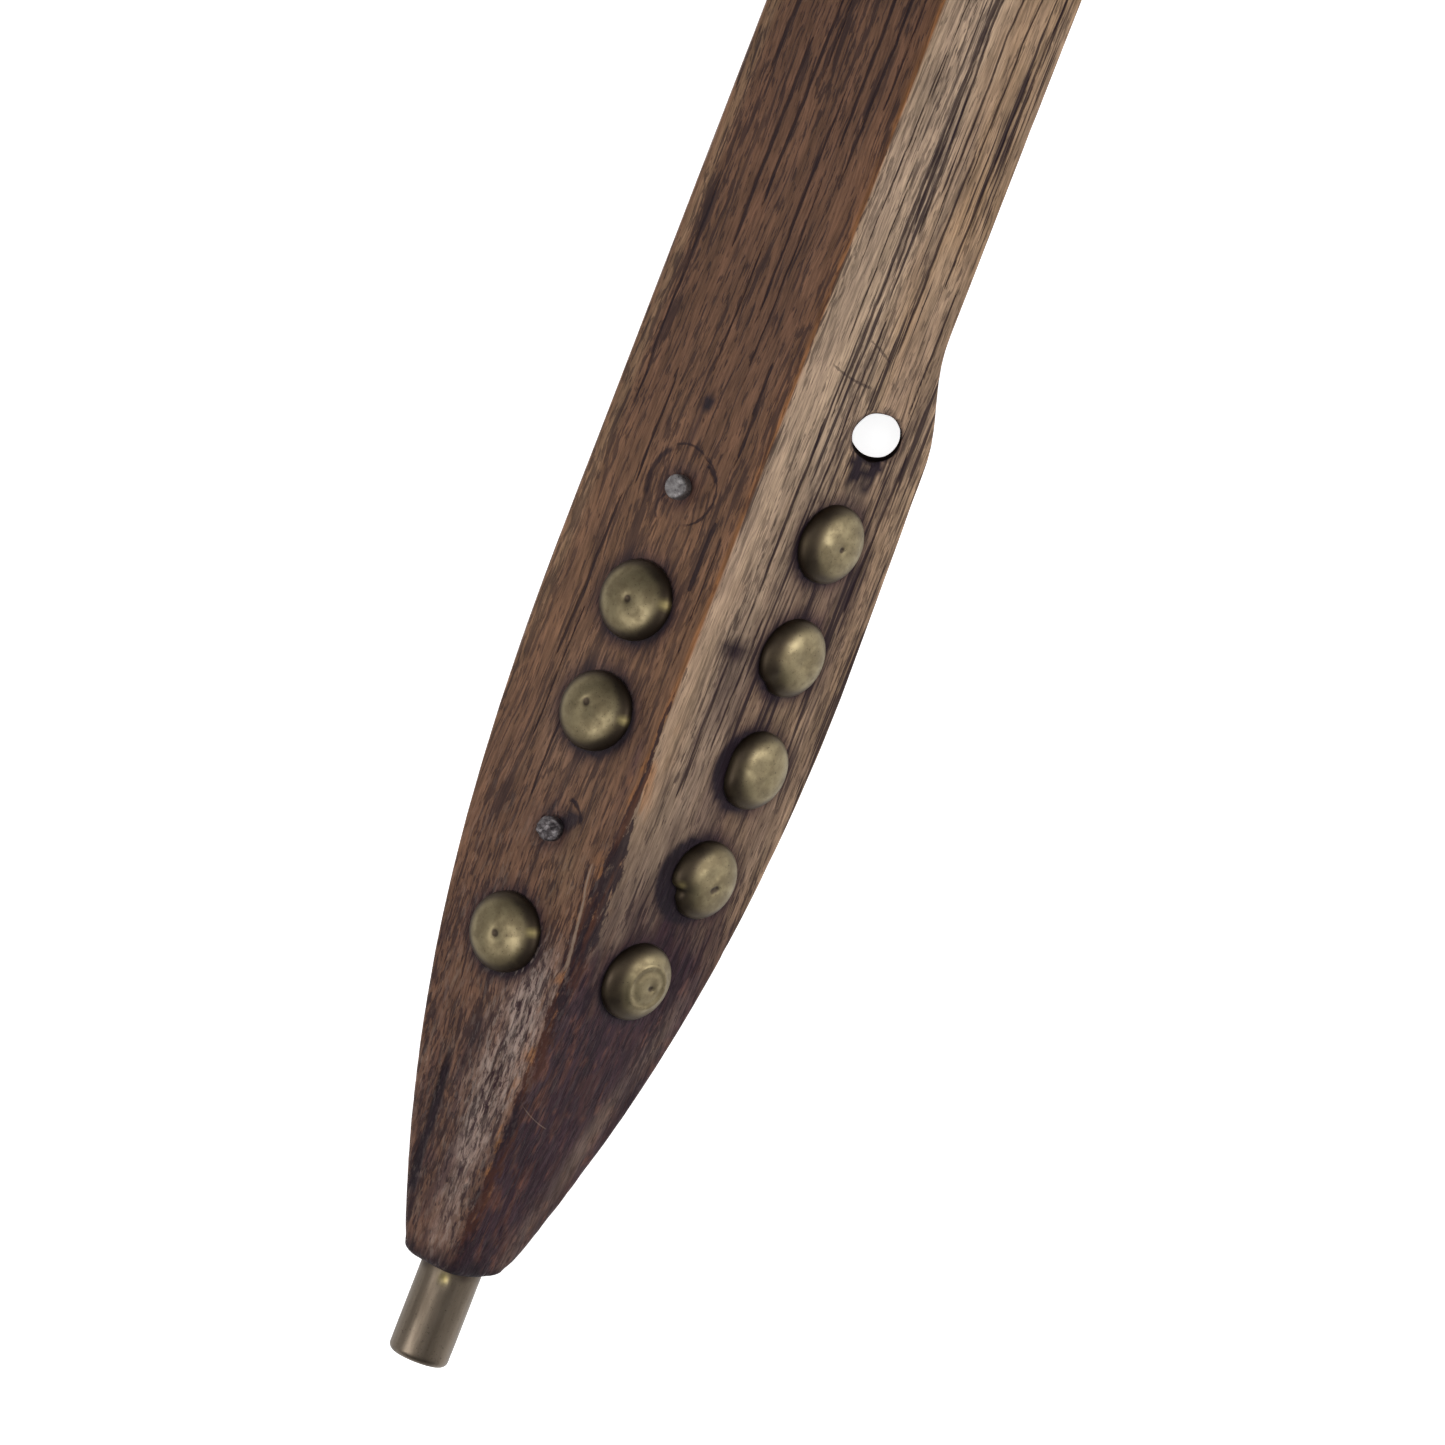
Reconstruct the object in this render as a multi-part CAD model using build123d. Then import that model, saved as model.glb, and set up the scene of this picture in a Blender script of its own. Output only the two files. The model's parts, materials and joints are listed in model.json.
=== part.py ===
"""Garden dibber: a ridged hardwood blade with a brass tip peg, capped studs and a cross handle.

The tool lies on its flat back.  X runs across it with zero on the ridge, Z rises from the back,
and Y runs along it from the tip towards the handle.  Each piece is modelled with Y measured from
the wooden tip, and all are moved together at the end so that Y is zero at mid-length.  All sizes
are in millimetres and all angles in degrees.
"""
from build123d import *
import os
from math import radians, tan

# Blade: lengths along it, measured from the wooden tip
body_length = 244.0
left_taper_length = 122.3
right_taper_length = 107.3
ear_start = 146.0
ear_length = 22.0

# Blade: half widths either side of the ridge
tip_half_left = 7.6
tip_half_right = 7.6
blade_half_left = 25.8
blade_half_right = 25.6
ear_half_right = 24.7
neck_half_right = 20.6
tip_corner_radius = 1.5
left_taper_power = 2.5
right_taper_power = 2.1

# Ridge and the two sloping faces
ridge_height = 27.5
tip_ridge_height = 16.5
ridge_fall_length = 79.0
ridge_fall_power = 1.7
left_face_angle = 33.0
right_face_angle = 44.0
right_face_tip_angle = 36.0

# Hole for hanging the tool up, drilled square to the back
hang_hole_radius = 3.97
hang_hole_along = 149.2
hang_hole_across = 15.4

# Brass peg let into the tip
peg_radius = 5.0
peg_exposed = 15.9
peg_depth = 25.0
peg_offset = 0.4
peg_edge_radius = 1.2

# Studs: a steel pin driven square to the face, and a filled brass cap over its head
stud_pitch = 19.05
first_stud_along = 55.0
cap_radius = 6.5
cap_height = 3.0
cap_edge_height = 0.9
cap_wall = 0.7
cap_bite = 0.3
cap_dimple_radius = 1.6
cap_dimple_depth = 0.35
pin_radius = 2.0
pin_depth = 11.0
pin_point_length = 3.0
fill_over_pin = 0.2
left_column = 11.0
right_column = 15.1

# Cross handle and its through joint
handle_length = 132.0
handle_block_length = 50.0
handle_block_size = 30.0
handle_block_edge = 1.5
grip_neck_radius = 10.5
grip_radius = 13.0
grip_end_radius = 7.0
tenon_radius = 8.0
tenon_height = 14.0
tenon_proud = 1.5
wedge_depth = 16.0
wedge_thick_end = 2.6
wedge_thin_end = 0.8
lock_pin_radius = 3.0
lock_pin_inset = 7.0
lock_pin_proud = 0.6

# Worked out from the sizes above
overall_length = peg_exposed + body_length + handle_block_size + tenon_proud
pin_proud = cap_height - cap_dimple_depth - cap_wall - fill_over_pin
peg_rise = tip_ridge_height / 2

# The studs were set by eye.  Each has its row up from the tip, then how far it strays from that
# row along the blade and how far its column strays outwards.
left_studs = {"l5": (0, 0.3, 0.2), "l4": (1, -0.6, -0.6), "l3": (2, 0.5, -0.5),
              "l2": (3, 0.0, -0.1), "l1": (4, 0.0, 0.0)}
right_studs = {"r5": (0, 0.0, -4.3), "r4": (1, -0.4, -0.1), "r3": (2, -0.3, 1.2),
               "r2": (3, -0.4, 0.2), "r1": (4, -0.3, -0.7)}
uncapped_studs = ("l1", "l4")


def fall(along):
    """How far down the falling part of the ridge a place is: 0 at its top, 1 at the tip."""
    return max(0.0, (ridge_fall_length - along) / ridge_fall_length)


def ridge_at(along):
    """Height of the ridge above the back."""
    return ridge_height - (ridge_height - tip_ridge_height) * fall(along) ** ridge_fall_power


def right_angle_at(along):
    """Angle of the right face, which eases towards the tip."""
    return right_face_angle - (right_face_angle - right_face_tip_angle) * min(1.0, fall(along))


def face_height(across, along):
    """Height of the sloping face above the back at a place in plan."""
    angle = left_face_angle if across < 0 else right_angle_at(along)
    return ridge_at(along) - abs(across) * tan(radians(angle))


def taper(along, tip_half, full_half, length, power):
    """Half width of the blade between its tip and the place where it is full width."""
    return full_half - (full_half - tip_half) * ((length - along) / length) ** power


def edge_points(tip_half, full_half, length, power, side, count=7):
    """Points along one tapering edge, closer together towards the tip."""
    places = [length * (i / count) ** 1.3 for i in range(count + 1)]
    return [(side * taper(y, tip_half, full_half, length, power), y) for y in places]


def blade_outline():
    """Plan of the blade: two curved tapers, the ear beside the hanging hole and the neck."""
    left = edge_points(tip_half_left, blade_half_left, left_taper_length, left_taper_power, -1)
    right = edge_points(tip_half_right, blade_half_right, right_taper_length, right_taper_power, 1)
    ear_end = ear_start + ear_length
    edges = [
        Line(right[0], left[0]),
        Spline(*left, tangents=[Vector(*left[1]) - Vector(*left[0]), (0, 1)]),
        Line(left[-1], (-blade_half_left, body_length)),
        Line((-blade_half_left, body_length), (neck_half_right, body_length)),
        Line((neck_half_right, body_length), (neck_half_right, ear_end)),
        Spline((neck_half_right, ear_end), (ear_half_right, ear_start), tangents=[(0, -1), (0, -1)]),
        Line((ear_half_right, ear_start), right[-1]),
        Spline(*reversed(right), tangents=[(0, -1), Vector(*right[0]) - Vector(*right[1])]),
    ]
    plan = make_face(edges)
    tip_corners = plan.vertices().sort_by(Axis.Y)[:2]
    return fillet(tip_corners, tip_corner_radius)


def roof_section(along):
    """Cross-section of the space under the two sloping faces, wider and deeper than the blade."""
    reach = max(blade_half_left, blade_half_right) + 2
    depth = -ridge_height
    corners = [
        (-reach, depth),
        (reach, depth),
        (reach, face_height(reach, along)),
        (0, ridge_at(along)),
        (-reach, face_height(-reach, along)),
    ]
    section_plane = Plane(origin=(0, along, 0), x_dir=(1, 0, 0), z_dir=(0, -1, 0))
    return section_plane * make_face(Polyline(*corners, close=True))


def roof():
    """Everything under the sloping faces, from past the tip to past the shoulder."""
    stations = [ridge_fall_length * share for share in (0, 0.2, 0.4, 0.6, 0.8, 1)]
    falling = loft([roof_section(y) for y in stations])
    level = extrude(roof_section(ridge_fall_length), amount=body_length, dir=(0, 1, 0))
    return falling + level


def stud_plane(along, across):
    """Plane on a sloping face, looking straight out of it."""
    step = 0.5
    slope_x = (face_height(across + step, along) - face_height(across - step, along)) / (2 * step)
    slope_y = (face_height(across, along + step) - face_height(across, along - step)) / (2 * step)
    origin = (across, along, face_height(across, along))
    return Plane(origin=origin, x_dir=(1, 0, slope_x), z_dir=(-slope_x, -slope_y, 1))


def stud_places():
    """Plane of every stud by name."""
    places = {}
    for side, column, studs in ((-1, left_column, left_studs), (1, right_column, right_studs)):
        for name, (row, stray_along, stray_out) in studs.items():
            along = first_stud_along + row * stud_pitch + stray_along
            places[name] = stud_plane(along, side * (column + stray_out))
    return places


def domed_disc(inset):
    """Solid of the cap's outer shape, with its side and top moved inwards by the inset."""
    radius = cap_radius - inset
    top = cap_height - inset
    edge = cap_edge_height
    side = Line((radius, -cap_bite), (radius, edge))
    crown = Spline((radius, edge), (cap_dimple_radius, top), tangents=[(0, 1), (-1, 0)])
    dimple = Spline(
        (cap_dimple_radius, top), (0, top - cap_dimple_depth), tangents=[(-1, 0), (-1, 0)]
    )
    axis = Line((0, top - cap_dimple_depth), (0, -cap_bite))
    base = Line((0, -cap_bite), (radius, -cap_bite))
    profile = make_face([side, crown, dimple, axis, base])
    return revolve(Plane.XZ * profile, Axis.Z)


def stud_pin():
    """Round steel pin with a tapered point, its head above the face."""
    shank_length = pin_depth - pin_point_length + pin_proud
    shank = Pos(0, 0, pin_proud - shank_length / 2) * Cylinder(pin_radius, shank_length)
    point = Cone(pin_radius / 4, pin_radius, pin_point_length)
    return shank + Pos(0, 0, pin_proud - shank_length - pin_point_length / 2) * point


def stud_cap():
    """Pressed brass cap with a dimple in its crown."""
    return domed_disc(0) - domed_disc(cap_wall)


def stud_fill():
    """Soft metal cast inside the cap and around the head of the pin."""
    return domed_disc(cap_wall) - stud_pin()


def tip_peg():
    """Brass peg let into the end of the blade."""
    length = peg_exposed + peg_depth
    rod = Cylinder(peg_radius, length)
    rod = fillet(rod.edges().sort_by(Axis.Z)[-1], peg_edge_radius)
    middle = (peg_depth - peg_exposed) / 2
    return Pos(peg_offset, middle, peg_rise) * Rot(90, 0, 0) * rod


def handle_tenon():
    """Round tenon from the blade's shoulder through the handle."""
    length = handle_block_size + tenon_proud
    middle = body_length + length / 2
    return Pos(0, middle, tenon_height) * Rot(90, 0, 0) * Cylinder(tenon_radius, length)


def handle_wedge():
    """Wedge that spreads the tenon along the grain of the handle."""
    outer = body_length + handle_block_size + tenon_proud
    inner = outer - wedge_depth
    corners = [
        (-wedge_thin_end / 2, inner),
        (wedge_thin_end / 2, inner),
        (wedge_thick_end / 2, outer),
        (-wedge_thick_end / 2, outer),
    ]
    taper_plan = make_face(Polyline(*corners, close=True))
    return extrude(taper_plan, amount=2 * tenon_height) & handle_tenon()


def handle_lock_pin():
    """Wooden pin through the handle and the tenon, proud of the upper face."""
    length = handle_block_size + lock_pin_proud
    along = body_length + lock_pin_inset
    return Pos(0, along, length / 2) * Cylinder(lock_pin_radius, length)


def grip(side):
    """Turned grip at one end of the handle, running in to the middle of the block."""
    neck = handle_block_length / 2
    end = handle_length / 2
    swell = (neck + end) / 2 + 4
    outline = [
        Line((0, 0), (0, grip_neck_radius)),
        Line((0, grip_neck_radius), (neck, grip_neck_radius)),
        Spline(
            (neck, grip_neck_radius), (swell, grip_radius), (end, grip_end_radius),
            tangents=[(1, 0.1), (0, -1)],
        ),
        Line((end, grip_end_radius), (end, 0)),
        Line((end, 0), (0, 0)),
    ]
    turned = revolve(make_face(outline), Axis.X)
    return turned if side > 0 else mirror(turned, Plane.YZ)


def cross_handle():
    """Handle with a square middle for the joint and a turned grip at each end."""
    block = Box(handle_block_length, handle_block_size, handle_block_size)
    block = chamfer(block.edges(), handle_block_edge)
    half = handle_block_size / 2
    whole = Pos(0, body_length + half, half) * (block + grip(1) + grip(-1))
    return whole - handle_tenon() - handle_lock_pin()


def blade_body(places):
    """The blade with its tenon, and the holes and seats for what is let into it."""
    wood = extrude(blade_outline(), amount=ridge_height + 1) & roof()
    wood += handle_tenon()
    wood -= tip_peg()
    wood -= handle_wedge()
    wood -= handle_lock_pin()
    hole_place = Pos(hang_hole_across, hang_hole_along, ridge_height / 2)
    wood -= hole_place * Cylinder(hang_hole_radius, 2 * ridge_height)
    for name, plane in places.items():
        wood -= plane * stud_pin()
        if name not in uncapped_studs:
            wood -= plane * domed_disc(0)
    return wood


def all_pieces():
    """Every piece of the tool by name."""
    places = stud_places()
    pieces = {
        "blade_body": blade_body(places),
        "tip_peg": tip_peg(),
        "cross_handle": cross_handle(),
        "handle_wedge": handle_wedge(),
        "handle_lock_pin": handle_lock_pin(),
    }
    for name, plane in places.items():
        pieces["stud_pin_" + name] = plane * stud_pin()
        if name not in uncapped_studs:
            pieces["stud_cap_" + name] = plane * stud_cap()
            pieces["stud_fill_" + name] = plane * stud_fill()
    return pieces


os.makedirs("parts", exist_ok=True)
to_mid_length = Pos(0, peg_exposed - overall_length / 2, 0)
for piece_name, piece in all_pieces().items():
    export_step(to_mid_length * piece, "parts/" + piece_name + ".step")
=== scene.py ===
"""Looks of the garden dibber: worn hardwood blade, aged brass caps and peg, steel pins, handle.

Blade coordinates in this file are millimetres: along is measured from the wooden tip towards the
handle, across from the ridge (positive on the side with the hanging hole), height from the back.
"""

import json
from math import acos, cos, pi, radians, sin, tan

import bmesh
import bpy
import numpy as np
from mathutils import Matrix, Vector
from mathutils.bvhtree import BVHTree


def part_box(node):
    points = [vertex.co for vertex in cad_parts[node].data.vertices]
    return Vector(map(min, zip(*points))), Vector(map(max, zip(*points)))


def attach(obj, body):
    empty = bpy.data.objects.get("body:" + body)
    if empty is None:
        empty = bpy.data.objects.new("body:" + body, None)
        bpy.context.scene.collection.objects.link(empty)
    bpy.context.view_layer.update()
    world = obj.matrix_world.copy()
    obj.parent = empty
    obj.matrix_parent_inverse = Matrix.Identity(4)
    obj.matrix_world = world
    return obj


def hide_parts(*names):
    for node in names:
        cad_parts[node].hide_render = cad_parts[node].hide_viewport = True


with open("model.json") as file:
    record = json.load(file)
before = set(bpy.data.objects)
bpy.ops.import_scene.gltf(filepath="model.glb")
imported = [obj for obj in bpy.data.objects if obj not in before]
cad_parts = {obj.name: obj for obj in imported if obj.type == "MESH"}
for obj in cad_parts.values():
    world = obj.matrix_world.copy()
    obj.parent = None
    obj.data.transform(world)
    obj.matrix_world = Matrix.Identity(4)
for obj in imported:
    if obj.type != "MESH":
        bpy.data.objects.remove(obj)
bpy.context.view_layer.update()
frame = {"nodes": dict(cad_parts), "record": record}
nodes = frame["nodes"]

MM = 0.001
TIP_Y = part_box("blade_body")[0].y / MM
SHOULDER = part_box("cross_handle")[0].y / MM - TIP_Y
HOLE = next(m for m in frame["record"]["mounts"] if m["name"] == "hang_hole")
HOLE_ACROSS = HOLE["pos_m"][0] / MM
HOLE_ALONG = HOLE["pos_m"][1] / MM - TIP_Y
HOLE_RADIUS = HOLE["dims"]["r_mm"]
UNCAPPED = ("l1", "l4")
CAPPED = ("l2", "l3", "l5", "r1", "r2", "r3", "r4", "r5")

# Colours, linear
BROWN = (0.128, 0.062, 0.037)
WARM_BROWN = (0.180, 0.092, 0.050)
TAN = (0.365, 0.258, 0.172)
OCHRE = (0.300, 0.190, 0.108)
GREY_TAN = (0.262, 0.184, 0.134)
PLUM = (0.031, 0.014, 0.019)
RED_BROWN = (0.098, 0.038, 0.024)
SCUFF = (0.280, 0.204, 0.172)
PALE_SCUFF = (0.420, 0.325, 0.275)
RIDGE_ORANGE = (0.270, 0.110, 0.036)
PORE = (0.015, 0.008, 0.012)
DARK_RED = (0.052, 0.018, 0.012)
NEAR_BLACK = (0.013, 0.008, 0.013)


# ---------------------------------------------------------------- small tools

def lerp(a, b, amount):
    """Blend of two colours or arrays of colours by an amount per point."""
    amount = np.clip(amount, 0, 1)[..., None]
    return np.asarray(a) * (1 - amount) + np.asarray(b) * amount


def step(low, high, value):
    """0 below low, 1 above high and smooth between them."""
    t = np.clip((value - low) / (high - low), 0, 1)
    return t * t * (3 - 2 * t)


def bump(value, middle, width):
    """1 at the middle, falling off over the width."""
    return np.exp(-((value - middle) / width) ** 2)


def value_noise(u, v, seed):
    """Smooth noise from -1 to 1 on a lattice of random heights."""
    table = np.random.default_rng(seed).uniform(-1, 1, (256, 256))
    iu, iv = np.floor(u).astype(int), np.floor(v).astype(int)
    fu, fv = step(0, 1, u - iu), step(0, 1, v - iv)
    low = table[iu % 256, iv % 256] * (1 - fv) + table[iu % 256, (iv + 1) % 256] * fv
    high = table[(iu + 1) % 256, iv % 256] * (1 - fv) + table[(iu + 1) % 256, (iv + 1) % 256] * fv
    return low * (1 - fu) + high * fu


def cloud(u, v, seed, octaves=3):
    """Sum of octaves of noise, about -1 to 1."""
    total, size = 0, 0
    for i in range(octaves):
        weight = 0.5 ** i
        total = total + weight * value_noise(u * 2 ** i, v * 2 ** i, seed + i)
        size += weight
    return total / size


def mesh_object(name, points, faces, material, smooth=True):
    """New object riding on the tool, from points in millimetres in the row frame."""
    mesh = bpy.data.meshes.new(name)
    mesh.from_pydata((np.asarray(points) * MM).tolist(), [], faces)
    mesh.validate()
    tidy = bmesh.new()
    tidy.from_mesh(mesh)
    bmesh.ops.recalc_face_normals(tidy, faces=tidy.faces)
    tidy.to_mesh(mesh)
    tidy.free()
    for face in mesh.polygons:
        face.use_smooth = smooth
    piece = bpy.data.objects.new(name, mesh)
    bpy.context.scene.collection.objects.link(piece)
    mesh.materials.append(material)
    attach(piece, "root")
    return piece


def ring_faces(rings, count, close_start=True, close_end=True):
    """Quads between neighbouring closed rings of points, and a face at each end."""
    faces = []
    for j in range(rings - 1):
        for i in range(count):
            k = (i + 1) % count
            faces.append((j * count + i, j * count + k, (j + 1) * count + k, (j + 1) * count + i))
    if close_start:
        faces.append(tuple(range(count - 1, -1, -1)))
    if close_end:
        faces.append(tuple(range((rings - 1) * count, rings * count)))
    return faces


# ---------------------------------------------------------------- studs: where they are

def stud_frame(name):
    """Middle of the stud on the wood's face and its across, along and outward directions."""
    points = np.array([v.co for v in nodes["stud_pin_" + name].data.vertices]) / MM
    centre = points.mean(0)
    outward = np.linalg.svd(points - centre, full_matrices=False)[2][0]
    outward *= np.sign(outward[2])
    reach = (points - centre) @ outward
    head = centre + outward * reach.max()
    seat = head - outward * PIN_PROUD
    across = np.cross([0, 1, 0], outward)
    across /= np.linalg.norm(across)
    return {"seat": seat, "head": head, "across": across,
            "along": np.cross(outward, across), "outward": outward}


def cap_height_over(name, outward, point):
    """How far the cap's rim and crown are from a point, along the stud."""
    points = np.array([v.co for v in nodes["stud_cap_" + name].data.vertices]) / MM
    reach = (points - point) @ outward
    return reach.min(), reach.max()


CAP_BITE = 0.3
PIN_PROUD = 1.75
STUDS = {name: stud_frame(name) for name in UNCAPPED + CAPPED}


# ---------------------------------------------------------------- blade surface

RIDGE_STEPS, CORNER_STEPS = 14, 5
SIDE_STEPS = (9, 150, 160, 6, 24)

# Dark open-grain streaks: across, along from, along to, width, strength, lean across over length
STREAKS = [
    (7.3, 148, 236, 0.42, 1.0, 0.5), (8.3, 176, 240, 0.28, 0.9, -0.4), (9.9, 180, 226, 0.34, 1.0, -1.6),
    (11.6, 184, 240, 0.30, 0.8, 0.0), (2.6, 172, 214, 0.22, 0.7, 0.7), (3.6, 186, 232, 0.20, 0.6, 0.0),
    (5.2, 160, 190, 0.22, 0.6, 0.3), (13.6, 160, 200, 0.45, 0.5, 0.0), (14.2, 190, 236, 0.30, 0.6, 0.3),
    (16.9, 172, 214, 0.36, 0.6, 0.4), (18.2, 196, 238, 0.26, 0.5, 0.0), (6.6, 118, 152, 0.35, 0.8, -0.4),
    (9.4, 126, 170, 0.30, 0.7, 0.5), (12.3, 134, 166, 0.25, 0.6, 0.2), (20.6, 120, 150, 0.50, 0.5, 0.4),
    (6.0, 84, 110, 0.35, 0.8, -0.2), (8.4, 92, 118, 0.30, 0.7, 0.3), (19.0, 152, 176, 0.35, 0.6, 0.0),
    (-4.8, 184, 232, 0.35, 0.8, 0.3), (-6.9, 188, 238, 0.40, 0.8, -0.3), (-9.3, 160, 200, 0.30, 0.9, 0.2),
    (-14.8, 176, 214, 0.45, 0.8, 0.2), (-16.9, 168, 206, 0.55, 0.7, 0.0), (-21.2, 196, 226, 0.60, 0.5, 0.3),
    (-4.4, 138, 156, 0.45, 0.9, 0.0), (-3.9, 116, 129, 0.60, 0.9, 0.0), (-7.6, 150, 186, 0.28, 0.6, 0.2),
    (-12.6, 150, 172, 0.25, 0.7, 0.2), (-17.8, 128, 150, 0.30, 0.7, -0.2), (-19.6, 98, 128, 0.45, 0.7, 0.6),
    (-15.6, 76, 92, 0.28, 0.9, 0.2), (-2.2, 104, 128, 0.25, 0.6, 0.1), (-18.6, 84, 110, 0.25, 0.5, 0.3),
    (-22.6, 140, 180, 0.40, 0.5, 0.2), (-13.2, 196, 240, 0.30, 0.5, -0.2), (-2.6, 196, 236, 0.30, 0.6, 0.0),
]


def crack_distance(across, along):
    """Distance from the nearest long streak, in half-widths of that streak, at most 4."""
    wander = 0.30 * value_noise(along / 9, across * 0 + 3.5, 31) + 0.08 * value_noise(along / 2.6, across * 0, 33)
    nearest = np.full(across.shape, 4.0)
    for place, start, end, width, strength, lean in STREAKS:
        share = np.clip((along - start) / (end - start), 0, 1)
        middle = place + lean * share + wander
        ends = step(0, 0.16, share) * step(0, 0.16, 1 - share)
        half = 0.72 * width * (0.4 + 0.6 * strength) * np.sqrt(ends) + 0.001
        nearest = np.minimum(nearest, np.abs(across - middle) / half)
    return nearest


def distance_to(point, across, along, height):
    """Distance in millimetres from a point of the row frame to each blade point."""
    return np.sqrt((across - point[0]) ** 2 + (along + TIP_Y - point[1]) ** 2 + (height - point[2]) ** 2)


def ring_groove(across, along, height):
    """Groove left in the wood by the rim of the lost cap round the upper pin."""
    middle = STUDS["l1"]["seat"]
    away = distance_to(middle + np.array([0.35, 0.5, 0.2]), across, along, height)
    return bump(away, 6.2, 0.45)


def torn_zone(across, along):
    """Where the ridge is rubbed to bare torn fibres: a band left of the ridge near the tip."""
    middle = np.interp(along, [0, 12, 30, 55, 80], [-2.6, -3.6, -4.4, -4.0, -1.8])
    width = np.interp(along, [0, 12, 30, 50, 66, 80], [1.6, 2.2, 3.2, 3.4, 2.0, 0.8])
    ragged = 0.7 * value_noise(along / 3.5, across / 1.5, 17)
    return bump(across + ragged, middle, width) * np.interp(along, [1, 8, 20, 34], [0, 0.45, 0.62, 1]) * step(0, 1, (62 - along) / 16)


def tip_scar(across, along):
    """Dark groove beside the left edge of the tip."""
    middle = -11.3 - 0.08 * (along - 20) + 0.3 * value_noise(along / 3, along * 0 + 1, 18)
    return step(1.0, 0.45, np.abs(across - middle)) * step(8, 11, along) * step(0, 6, 36 - along)


def displacement(across, along, height, front, grain):
    """How far each point moves out of the plain shape, in millimetres."""
    move = 0.05 * cloud(along / 34, grain / 7, 11)
    move -= 0.055 * step(0.25, 0.8, value_noise(along / 7.0, grain / 0.62, 12))
    move -= 0.13 * step(1.3, 0.4, crack_distance(across, along)) * front
    rough = step(75, 10, along)
    move += rough * 0.09 * cloud(along / 5.5, grain / 1.1, 13)
    torn = torn_zone(across, along) * front
    fibres = cloud(along / 3.2, grain / 0.75, 14)
    move += torn * (0.30 * fibres - 0.12)
    flakes = np.abs(value_noise(along / 5.0, grain / 1.9, 15))
    move -= (0.25 * torn + 0.10 * rough * front) * step(0.35, 0.0, flakes)
    move -= 0.10 * ring_groove(across, along, height) * front
    move -= 0.25 * tip_scar(across, along) * front
    for name in UNCAPPED:
        away = distance_to(STUDS[name]["seat"], across, along, height)
        move -= 0.35 * bump(away, 2.2, 0.7) * front
    for name in CAPPED:
        away = distance_to(STUDS[name]["seat"], across, along, height)
        move -= 0.12 * bump(away, 6.6, 0.5) * front
    hole_away = np.hypot(across - HOLE_ACROSS, along - HOLE_ALONG)
    rim_width = 0.55 + 0.12 * value_noise(across * 1.1, along * 1.1, 16)
    move -= 0.45 * step(HOLE_RADIUS + rim_width, HOLE_RADIUS - 0.2, hole_away)
    knot = np.hypot(across + 11.6, (along - 145.6) / 1.6)
    move += 0.10 * bump(knot, 0, 0.9) - 0.08 * bump(knot, 1.3, 0.4)
    pit = np.hypot((across - 5.6) / 1.3, (along - 111.2) / 0.9)
    move -= 0.30 * bump(pit, 0, 0.8) * front
    return move


def measured_corners(tree, along):
    """The five corners of the blade's cross-section, read from the CAD body."""
    y = (TIP_Y + along) * MM
    far, low, inset = 0.2, 1 * MM, 0.3

    def reach(origin, direction):
        return tree.ray_cast(Vector(origin), Vector(direction))[0] / MM

    left = reach((-far, y, low), (1, 0, 0)).x
    right = reach((far, y, low), (-1, 0, 0)).x
    ridge = reach((0, y, far), (0, 0, -1)).z
    near_left = reach(((left + inset) * MM, y, far), (0, 0, -1)).z
    near_right = reach(((right - inset) * MM, y, far), (0, 0, -1)).z
    left_top = ridge + (near_left - ridge) * left / (left + inset)
    right_top = ridge + (near_right - ridge) * right / (right - inset)
    return [(left, 0), (left, left_top), (0, ridge), (right, right_top), (right, 0)]


def rounded_section(corners, radii, corner_steps, side_steps):
    """Closed outline with an arc at each corner: points and outward normals."""
    corners = np.array(corners, float)
    count = len(corners)
    arcs = []
    for i in range(count):
        here = corners[i]
        back = corners[i - 1] - here
        ahead = corners[(i + 1) % count] - here
        back /= np.linalg.norm(back)
        ahead /= np.linalg.norm(ahead)
        half = acos(np.clip(back @ ahead, -1, 1)) / 2
        inward = (back + ahead) / np.linalg.norm(back + ahead)
        centre = here + inward * radii[i] / sin(half)
        first = here + back * radii[i] / tan(half) - centre
        last = here + ahead * radii[i] / tan(half) - centre
        turn = pi - 2 * half
        share = np.linspace(0, 1, corner_steps[i] + 1)[:, None]
        normals = (np.sin((1 - share) * turn) * first + np.sin(share * turn) * last) / sin(turn) / radii[i]
        arcs.append((centre + radii[i] * normals, normals))
    points, normals = [], []
    for i in range(count):
        arc_points, arc_normals = arcs[i]
        next_point = arcs[(i + 1) % count][0][0]
        share = np.linspace(0, 1, side_steps[i] + 2)[1:-1, None]
        points += [arc_points, arc_points[-1] * (1 - share) + next_point * share]
        normals += [arc_normals, np.repeat(arc_normals[-1:], side_steps[i], 0)]
    return np.concatenate(points), np.concatenate(normals)


def ridge_radius(along):
    """The ridge is crisp by the handle and rubbed round near the tip."""
    return 0.45 + 3.6 * float(step(98, 45, along))


def edge_radius(along):
    """The outer edges are worn more towards the tip."""
    return 0.7 + 1.0 * float(step(60, 0, along))


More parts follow.
